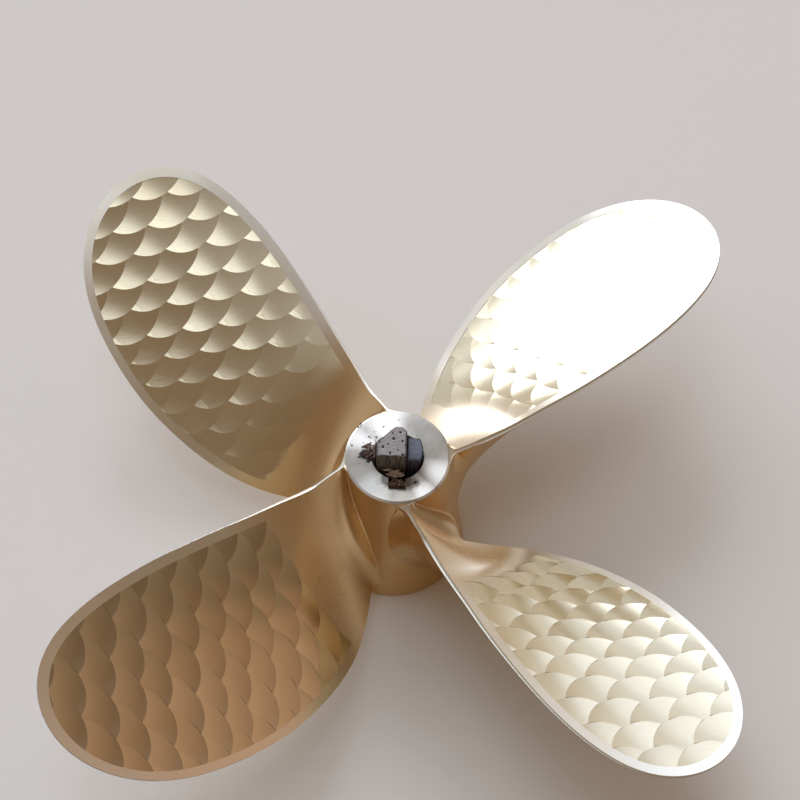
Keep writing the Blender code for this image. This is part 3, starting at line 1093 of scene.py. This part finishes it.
# Sides as rows of points from the top down, closed at the top by a fine net and at the foot by one face.
def makeBaulk(name, look, corners, dip, squeeze=lambda x, y, depth: (x, y), pitted=lambda x, y: 0):
    edge, top, shift = timber["edge"], look["top"], look["noisePlace"]
    outline = softOutline(corners, look)
    outward, ring = outwardAt(outline), len(outline)
    depths, insets = sideRows(top - look["foot"])
    points = []
    for depth, inset in zip(depths, insets):
        for place, away in zip(outline, outward):
            fibre, coarse = (sideGrain(place, top - depth, shift, kind) for kind in ("fibre", "coarse"))
            inwards = inset + timber["grain"] * (1.0 + fibre + timber["coarseShare"] * coarse)
            chip = max(0, coarse - timber["chipOver"]) * edge * 2 * math.exp(-depth / timber["chipDepth"])
            spot = place - away * (inwards + chip)
            x, y = squeeze(spot.x, spot.y, depth)
            height = top - depth
            if depth < edge * 2:
                height -= dip(x, y) * max(0, 1 - depth / (edge * 2))
            points.append((x, y, height))
    faces = []
    for row in range(len(depths) - 1):
        faces += ringFaces((row + 1) * ring, row * ring, ring)
    faces.append([(len(depths) - 1) * ring + side for side in range(ring)][::-1])
    onSides = len(points)
    addTop(points, faces, ring, top, dip)
    marks = [int(index >= onSides) for index in range(len(points))]
    hollows = [pitted(p[0], p[1]) if mark else 0 for p, mark in zip(points, marks)]
    made = meshObject(name, np.array(points), faces, [("top", marks), ("pit", hollows)])
    shadeSmooth(made, timber["sharpAngle"])
    return made


def addTop(points, faces, ring, top, dip):
    rim, step = [Vector(p[:2]) for p in points[:ring]], timber["step"]
    lowX, highX = min(p.x for p in rim), max(p.x for p in rim)
    lowY, highY = min(p.y for p in rim), max(p.y for p in rim)
    inner = []
    for row in range(int((highY - lowY) / step) + 1):
        for column in range(int((highX - lowX) / step) + 1):
            place = Vector((lowX + (column + 0.5 * (row % 2)) * step, lowY + row * step))
            if isInside(place, rim) and min((place - p).length for p in rim) > step * timber["rimGap"]:
                inner.append(place)
    edges = [(k, (k + 1) % ring) for k in range(ring)]
    net = delaunay_2d_cdt(rim + inner, edges, [], 1, 1e-7)
    numbers = {}
    for number, (place, sources) in enumerate(zip(net[0], net[3])):
        if sources and sources[0] < ring:
            numbers[number] = sources[0]
        else:
            numbers[number] = len(points)
            points.append((place.x, place.y, top - dip(place.x, place.y)))
    for face in net[2]:
        faces.append([numbers[v] for v in face])


# How far a sawn top lies under its height.
def sawnDip(look, x, y):
    return look["dip"] + sum(height * grain(x, y, place, scale) for height, place, scale in look["waves"])


# A place given in millimetres, to the right and up as the camera sees the aft face and over that face.
def facePlace(x, y, height):
    turn = math.radians(camera["turns"][0])
    x, y = x / 1000, y / 1000
    right, up = x * math.cos(turn) - y * math.sin(turn), x * math.sin(turn) + y * math.cos(turn)
    return Vector((right, up, hub["length"] + height / 1000))


def makePost():
    look = timber["post"]
    pits = [facePlace(x, y, 0) for x, y in look["pits"]]

    def pitted(x, y):
        most = 0
        for index, pit in enumerate(pits):
            size = look["pitSizes"][index % len(look["pitSizes"])]
            most = max(most, math.exp(-(math.hypot(x - pit.x, y - pit.y) / size) ** 2))
        return most

    def dip(x, y):
        return max(sawnDip(look, x, y) + look["pitDepth"] * pitted(x, y), 0)

    return makeBaulk("centre_post_timber", look, look["plan"], dip, pitted=pitted)


def makeWedge():
    look = timber["wedge"]
    inner, outer, steps = look["inner"], look["outer"], look["arcSteps"]
    length = look["top"] - look["foot"]
    turns = [math.radians(look["from"] + (look["to"] - look["from"]) * k / steps) for k in range(steps + 1)]
    corners = [(inner, outer * math.sin(turns[0]))]
    corners += [(outer * math.cos(turn), outer * math.sin(turn)) for turn in turns]
    corners.append((inner, outer * math.sin(turns[-1])))

    def squeeze(x, y, depth):
        least = min(x, inner + look["footWidth"])
        return x + (least - x) * depth / length, y

    def dip(x, y):
        slope = look["fallRight"] * max(0, (x - inner) / look["fallRightOver"])
        slope += look["fallFront"] * max(0, -y / look["fallFrontOver"]) ** 2
        return max(0, slope + sawnDip(look, x, y))

    return makeBaulk("side_wedge_timber", look, corners, dip, squeeze)


def makeShim():
    look = timber["shim"]

    def dip(x, y):
        height, place, scale = look["broken"]
        broken = height * max(0, grain(x, y, place, scale) + look["brokenOver"])
        height, place, scale = look["split"]
        return height * abs(grain(x * look["splitStretch"], y, place, scale)) + broken

    return makeBaulk("split_shim_timber", look, look["plan"], dip)


# Broken bits of timber, in millimetres as seen by the camera. A tuft's row says what the columns name:
# heights are over the aft face, and its bits turn that far from its heading. A speck has its place and size.
splinters = {
    "columns": (
        "middle", "spread", "heights", "heading", "turn", "length", "width", "tones", "count", "seed",
    ),
    "rings": 9,
    "sides": 6,
    "thinnest": 0.25,
    "taperFrom": 0.12,
    "taperOver": 0.8,
    "bend": 0.0004,
    "sway": 0.0006,
    "swell": 0.45,
    "flatness": 0.55,
    "toneChange": 0.25,
    "sharpAngle": 45,
    "tufts": {
        "chunk": ((-25.0, -0.5), (3.2, 3.4), (0.8, 3.4), 12, 50, (3.5, 8.0), (1.2, 2.8), (0.02, 0.45), 16, 3),
        "fibres": ((-22.0, 4.5), (3.0, 3.6), (1.4, 5.0), 55, 40, (4.0, 9.0), (0.5, 1.2), (0.35, 1.0), 18, 4),
        "inBore": ((-2.6, -14.8), (7, 2.8), (-3.4, -0.3), -12, 42, (3.5, 8), (0.8, 2), (0.65, 1.1), 24, 5),
        "overKeyway": ((1.5, -24.5), (6.5, 2.4), (-0.5, 0.5), 5, 50, (2, 5.5), (0.8, 2), (0.3, 0.7), 14, 8),
        "inKeyway": ((-0.4, -22.8), (6.6, 5.4), (-4.6, -1), 15, 60, (3, 7), (1, 2.6), (0.2, 0.52), 56, 7),
        "crumbs": ((-29.5, -1.0), (1.6, 2.6), (0.4, 1.0), 0, 90, (1.0, 2.6), (0.6, 1.3), (0.0, 0.3), 8, 6),
    },
    "specks": (
        (-31, 27, 1.6), (-33, 24, 1.3), (-31.5, 25, 0.8), (-24, 16, 1.2), (-22.5, 15, 0.7), (-18, 16, 1.3),
        (-37, 7, 1.2), (-38, 8.2, 0.6), (-13, 26, 1.2), (-11.5, 27, 0.6), (-26, 6, 1.2), (-28, 10, 0.7),
        (-1, 33, 0.8), (-20, 21, 0.6), (-30, -9, 0.7), (14, 20, 0.6), (-8, 24, 0.7), (15, -22, 2.2),
    ),
    "speckHeight": 0.25,
    "speckWidth": 0.9,
    "speckTone": 0.02,
}


# A closed, uneven sliver between two places. Its width is in millimetres.
def addSplinter(points, faces, tones, start, end, width, tone):
    rings, sides, thinnest = splinters["rings"], splinters["sides"], splinters["thinnest"]
    along = (end - start).normalized()
    across = along.cross(Vector((0, 0, 1))).normalized()
    up = across.cross(along)
    base = len(points)
    for row in range(rings + 1):
        share = row / rings
        middle = start.lerp(end, share) + up * splinters["bend"] * grain(share * 3, base, 0, 1)
        middle += across * splinters["sway"] * grain(share * 2, base, 5, 1)
        taper = math.sin(math.pi * (splinters["taperFrom"] + splinters["taperOver"] * share))
        size = width / 2000 * (thinnest + (1 - thinnest) * taper)
        for side in range(sides):
            turn = 2 * math.pi * side / sides
            swell = 1 + splinters["swell"] * grain(share * 4, side * 3, base, 1)
            aside, raised = math.cos(turn) * size * swell, math.sin(turn) * size * swell
            points.append(middle + across * aside + up * raised * splinters["flatness"])
            tones.append(tone + splinters["toneChange"] * grain(share * 5, side, base * 0.7, 1))
    for row in range(rings):
        faces += ringFaces(base + row * sides, base + (row + 1) * sides, sides)
    faces.append([base + side for side in range(sides)][::-1])
    faces.append([base + rings * sides + side for side in range(sides)])


def makeSplinters():
    points, faces, tones = [], [], []
    for row in splinters["tufts"].values():
        look = dict(zip(splinters["columns"], row))
        random = np.random.default_rng(look["seed"])
        for _ in range(look["count"]):
            x, y = (random.normal(mid, wide / 2) for mid, wide in zip(look["middle"], look["spread"]))
            turn = math.radians(look["heading"] + random.uniform(-1, 1) * look["turn"])
            half = random.uniform(*look["length"]) / 2
            low, high = random.uniform(*look["heights"], 2)
            right, up = half * math.cos(turn), half * math.sin(turn)
            start, end = facePlace(x - right, y - up, low), facePlace(x + right, y + up, high)
            width, tone = random.uniform(*look["width"]), random.uniform(*look["tones"])
            addSplinter(points, faces, tones, start, end, width, tone)
    height, width, tone = splinters["speckHeight"], splinters["speckWidth"], splinters["speckTone"]
    for x, y, size in splinters["specks"]:
        start, end = (facePlace(x + way * size / 2, y + way * size / 3, height) for way in (-1, 1))
        addSplinter(points, faces, tones, start, end, size * width, tone)
    made = meshObject("splinters", np.array([tuple(p) for p in points]), faces, [("tone", tones)])
    shadeSmooth(made, splinters["sharpAngle"])
    return made


timberLooks = {
    # Each timber's sides are painted much darker than its top, as painted shade.
    "grey_timber": {
        "top": (0.300, 0.268, 0.250, 1.0), "side": (0.050, 0.042, 0.030, 1.0),
        "pale": (0.58, 0.53, 0.49, 1.0), "dark": (0.012, 0.010, 0.010, 1.0),
    },
    "blue_grey_timber": {
        "top": (0.150, 0.160, 0.200, 1.0), "side": (0.022, 0.017, 0.026, 1.0),
        "pale": (0.26, 0.28, 0.34, 1.0), "dark": (0.020, 0.020, 0.030, 1.0),
    },
    "brown_timber": {
        "top": (0.150, 0.090, 0.055, 1.0), "side": (0.060, 0.035, 0.022, 1.0),
        "pale": (0.42, 0.30, 0.20, 1.0), "dark": (0.020, 0.012, 0.008, 1.0),
    },
    "fibres": (900.0, 4.0, 0.6),
    "fibreStretch": (1.0, 1.0, 0.06),
    "speckle": (1500.0, 3.0, 0.7),
    "pores": 900.0,
    "paleFibres": (0.4, 0.75, 0.0, 0.5),
    "darkFibres": (0.5, 0.3, 0.0, 0.8),
    "paleSpeckle": (0.45, 0.70, 0.0, 1.0),
    "darkPores": (0.30, 0.12, 0.0, 0.85),
    "darkPits": (0.15, 0.5, 0.0, 1.0),
    "roughness": (0.3, 0.7, 0.6, 0.85),
    "grainHeight": 0.00035,
}


def timberMaterial(name, look):
    made, tree, shader = newMaterial(name)
    place, along = objectPlace(tree), objectPlace(tree, timberLooks["fibreStretch"])
    fibres = noiseNode(tree, along, *timberLooks["fibres"])
    speckle = noiseNode(tree, place, *timberLooks["speckle"])
    pores = addNode(tree, "TexVoronoi", {}, place, timberLooks["pores"])
    onTop, pits = readAttribute(tree, "top"), readAttribute(tree, "pit")

    def stain(colour, source, kind, added):
        return mixColours(tree, rangeNode(tree, source, *timberLooks[kind]), colour, look[added])

    side = stain(stain(look["side"], fibres, "paleFibres", "pale"), fibres, "darkFibres", "dark")
    top = stain(stain(look["top"], speckle, "paleSpeckle", "pale"), pores, "darkPores", "dark")
    top = stain(top, pits, "darkPits", "dark")
    looks = {
        "Base Color": mixColours(tree, onTop, side, top),
        "Roughness": rangeNode(tree, speckle, *timberLooks["roughness"]),
    }
    setLooks(tree, shader, looks, mixColours(tree, onTop, fibres, pores), timberLooks["grainHeight"])
    return made


splinterLook = {
    "dark": (0.014, 0.009, 0.007, 1.0),
    "brown": (0.130, 0.065, 0.035, 1.0),
    "brownAt": 0.45,
    "pale": (0.66, 0.50, 0.38, 1.0),
    "grime": (0.03, 0.02, 0.015, 1.0),
    "grimed": (0.4, 0.7, 0.0, 0.6),
    "roughness": 0.75,
    "fibres": (1400.0, 3.0, 0.6),
    "fibreHeight": 0.0002,
}


# From nearly black through brown to pale, by each splinter's own tone.
def splinterMaterial():
    made, tree, shader = newMaterial("splintered_timber")
    ramp = tree.nodes.new("ShaderNodeValToRGB")
    ramp.color_ramp.elements[0].color = splinterLook["dark"]
    ramp.color_ramp.elements[1].color = splinterLook["pale"]
    ramp.color_ramp.elements.new(splinterLook["brownAt"]).color = splinterLook["brown"]
    feed(tree, readAttribute(tree, "tone"), ramp.inputs["Fac"])
    fibres = noiseNode(tree, objectPlace(tree), *splinterLook["fibres"])
    grimed = rangeNode(tree, fibres, *splinterLook["grimed"])
    colour = mixColours(tree, grimed, ramp.outputs["Color"], splinterLook["grime"])
    looks = {"Base Color": colour, "Roughness": splinterLook["roughness"]}
    setLooks(tree, shader, looks, fibres, splinterLook["fibreHeight"])
    return made


camera = {
    "place": (-0.03447, -0.86921, 1.75231),
    "turns": (-2.19, 29.69, 3.87),  # round the shaft axis, down from it, and the roll
    "lens": 104.1,
    "sensor": 36,
    "nearest": 0.05,
    "farthest": 30,
}


def makeCamera():
    data = bpy.data.cameras.new("camera")
    data.sensor_width = camera["sensor"]
    data.lens = camera["lens"]
    data.clip_start = camera["nearest"]
    data.clip_end = camera["farthest"]
    made = bpy.data.objects.new("camera", data)
    bpy.context.scene.collection.objects.link(made)
    rotation = Matrix.Identity(4)
    for turn, axis in zip(camera["turns"], "ZXZ"):
        rotation = rotation @ Matrix.Rotation(math.radians(turn), 4, axis)
    made.matrix_world = Matrix.Translation(camera["place"]) @ rotation
    bpy.context.scene.camera = made


# The studio is an even grey with soft patches of light. Each patch has the direction of its middle,
# as a bearing from +Y towards +X and an angle down from straight up, the angles where it starts and
# stops to fade, and its light.
studio = {
    "grey": (0.262, 0.196, 0.146),
    "patches": {
        "backWindow": (-22.8, 64.7, 15.5, 31, (2.60, 2.85, 3.50)),
        "backGlow": (-34, 57, 24, 68, (0.49, 0.61, 0.77)),
        "overhead": (-55, 9, 8, 15.5, (1.15, 1.34, 1.60)),
        "backMiddle": (-5, 51, 5, 10, (4.0, 4.2, 4.6)),
        "backRight": (13, 62, 1, 12.5, (0.70, 0.84, 1.18)),
        "backLow": (32, 88, 11, 29, (0.37, 0.37, 0.38)),
        "lowRight": (15, 76, 1, 10, (0.15, 0.22, 0.34)),
        "rightGlow": (62, 56, 1, 29, (0.24, 0.135, 0.09)),
    },
}


def makeWorld():
    world = bpy.data.worlds.new("studio")
    world.use_nodes = True
    tree = world.node_tree
    place = tree.nodes.new("ShaderNodeTexCoord").outputs["Generated"]
    total = studio["grey"]
    for *angles, light in studio["patches"].values():
        bearing, down, full, end = (math.radians(angle) for angle in angles)
        level = math.sin(down)
        middle = (math.sin(bearing) * level, math.cos(bearing) * level, math.cos(down))
        nearness = vectorNode(tree, "DOT_PRODUCT", place, middle)
        fade = rangeNode(tree, nearness, math.cos(end), math.cos(full), 0.0, 1.0, "SMOOTHSTEP")
        total = vectorNode(tree, "ADD", vectorNode(tree, "SCALE", light, fade), total)
    feed(tree, total, tree.nodes["Background"].inputs["Color"])
    bpy.context.scene.world = world


floorLook = {
    "halfSize": 3.0,
    "colour": (0.80, 0.75, 0.67, 1.0),
    "roughness": 0.7,
}


def makeFloor():
    half = floorLook["halfSize"]
    points = np.array([(-half, -half, 0), (half, -half, 0), (half, half, 0), (-half, half, 0)])
    made = meshObject("floor", points, [(0, 1, 2, 3)])
    look, tree, shader = newMaterial("pale_floor")
    shader.inputs["Base Color"].default_value = floorLook["colour"]
    shader.inputs["Roughness"].default_value = floorLook["roughness"]
    made.data.materials.append(look)


bpy.context.scene.view_settings.view_transform = "Standard"
lattices = {side: makeLattice(side) for side in (1, -1)}
order = rimOrder(lattices[1])
print("lattice points", len(lattices[1]["along"]), "rim points", len(order))
bladeLook, hubLook, silverLook = bladeMaterial(), hubMaterial(), silverMaterial()
for number in range(blade["count"]):
    made = makeBlade(number, lattices, order)
    made.data.materials.append(bladeLook)
    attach(made, "root")
    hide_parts("propeller_casting")
    print("blade", number + 1, "faces", len(made.data.polygons))
body = makeHub(hubLook, silverLook, boreMaterial())
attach(body, "root")
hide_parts("propeller_casting")
print("hub faces", len(body.data.polygons))
timbers = (
    (makePost(), "centre_post", "grey_timber"),
    (makeWedge(), "side_wedge", "blue_grey_timber"),
    (makeShim(), "split_shim", "brown_timber"),
)
for made, node, slot in timbers:
    made.data.materials.append(timberMaterial(f"weathered_{slot}", timberLooks[slot]))
    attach(made, "root")
    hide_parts(node)
    print(node, "faces", len(made.data.polygons))
bits = makeSplinters()
bits.data.materials.append(splinterMaterial())
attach(bits, "root")
print("splinter faces", len(bits.data.polygons))
makeCamera()
makeWorld()
makeFloor()
print("camera, studio and floor made")
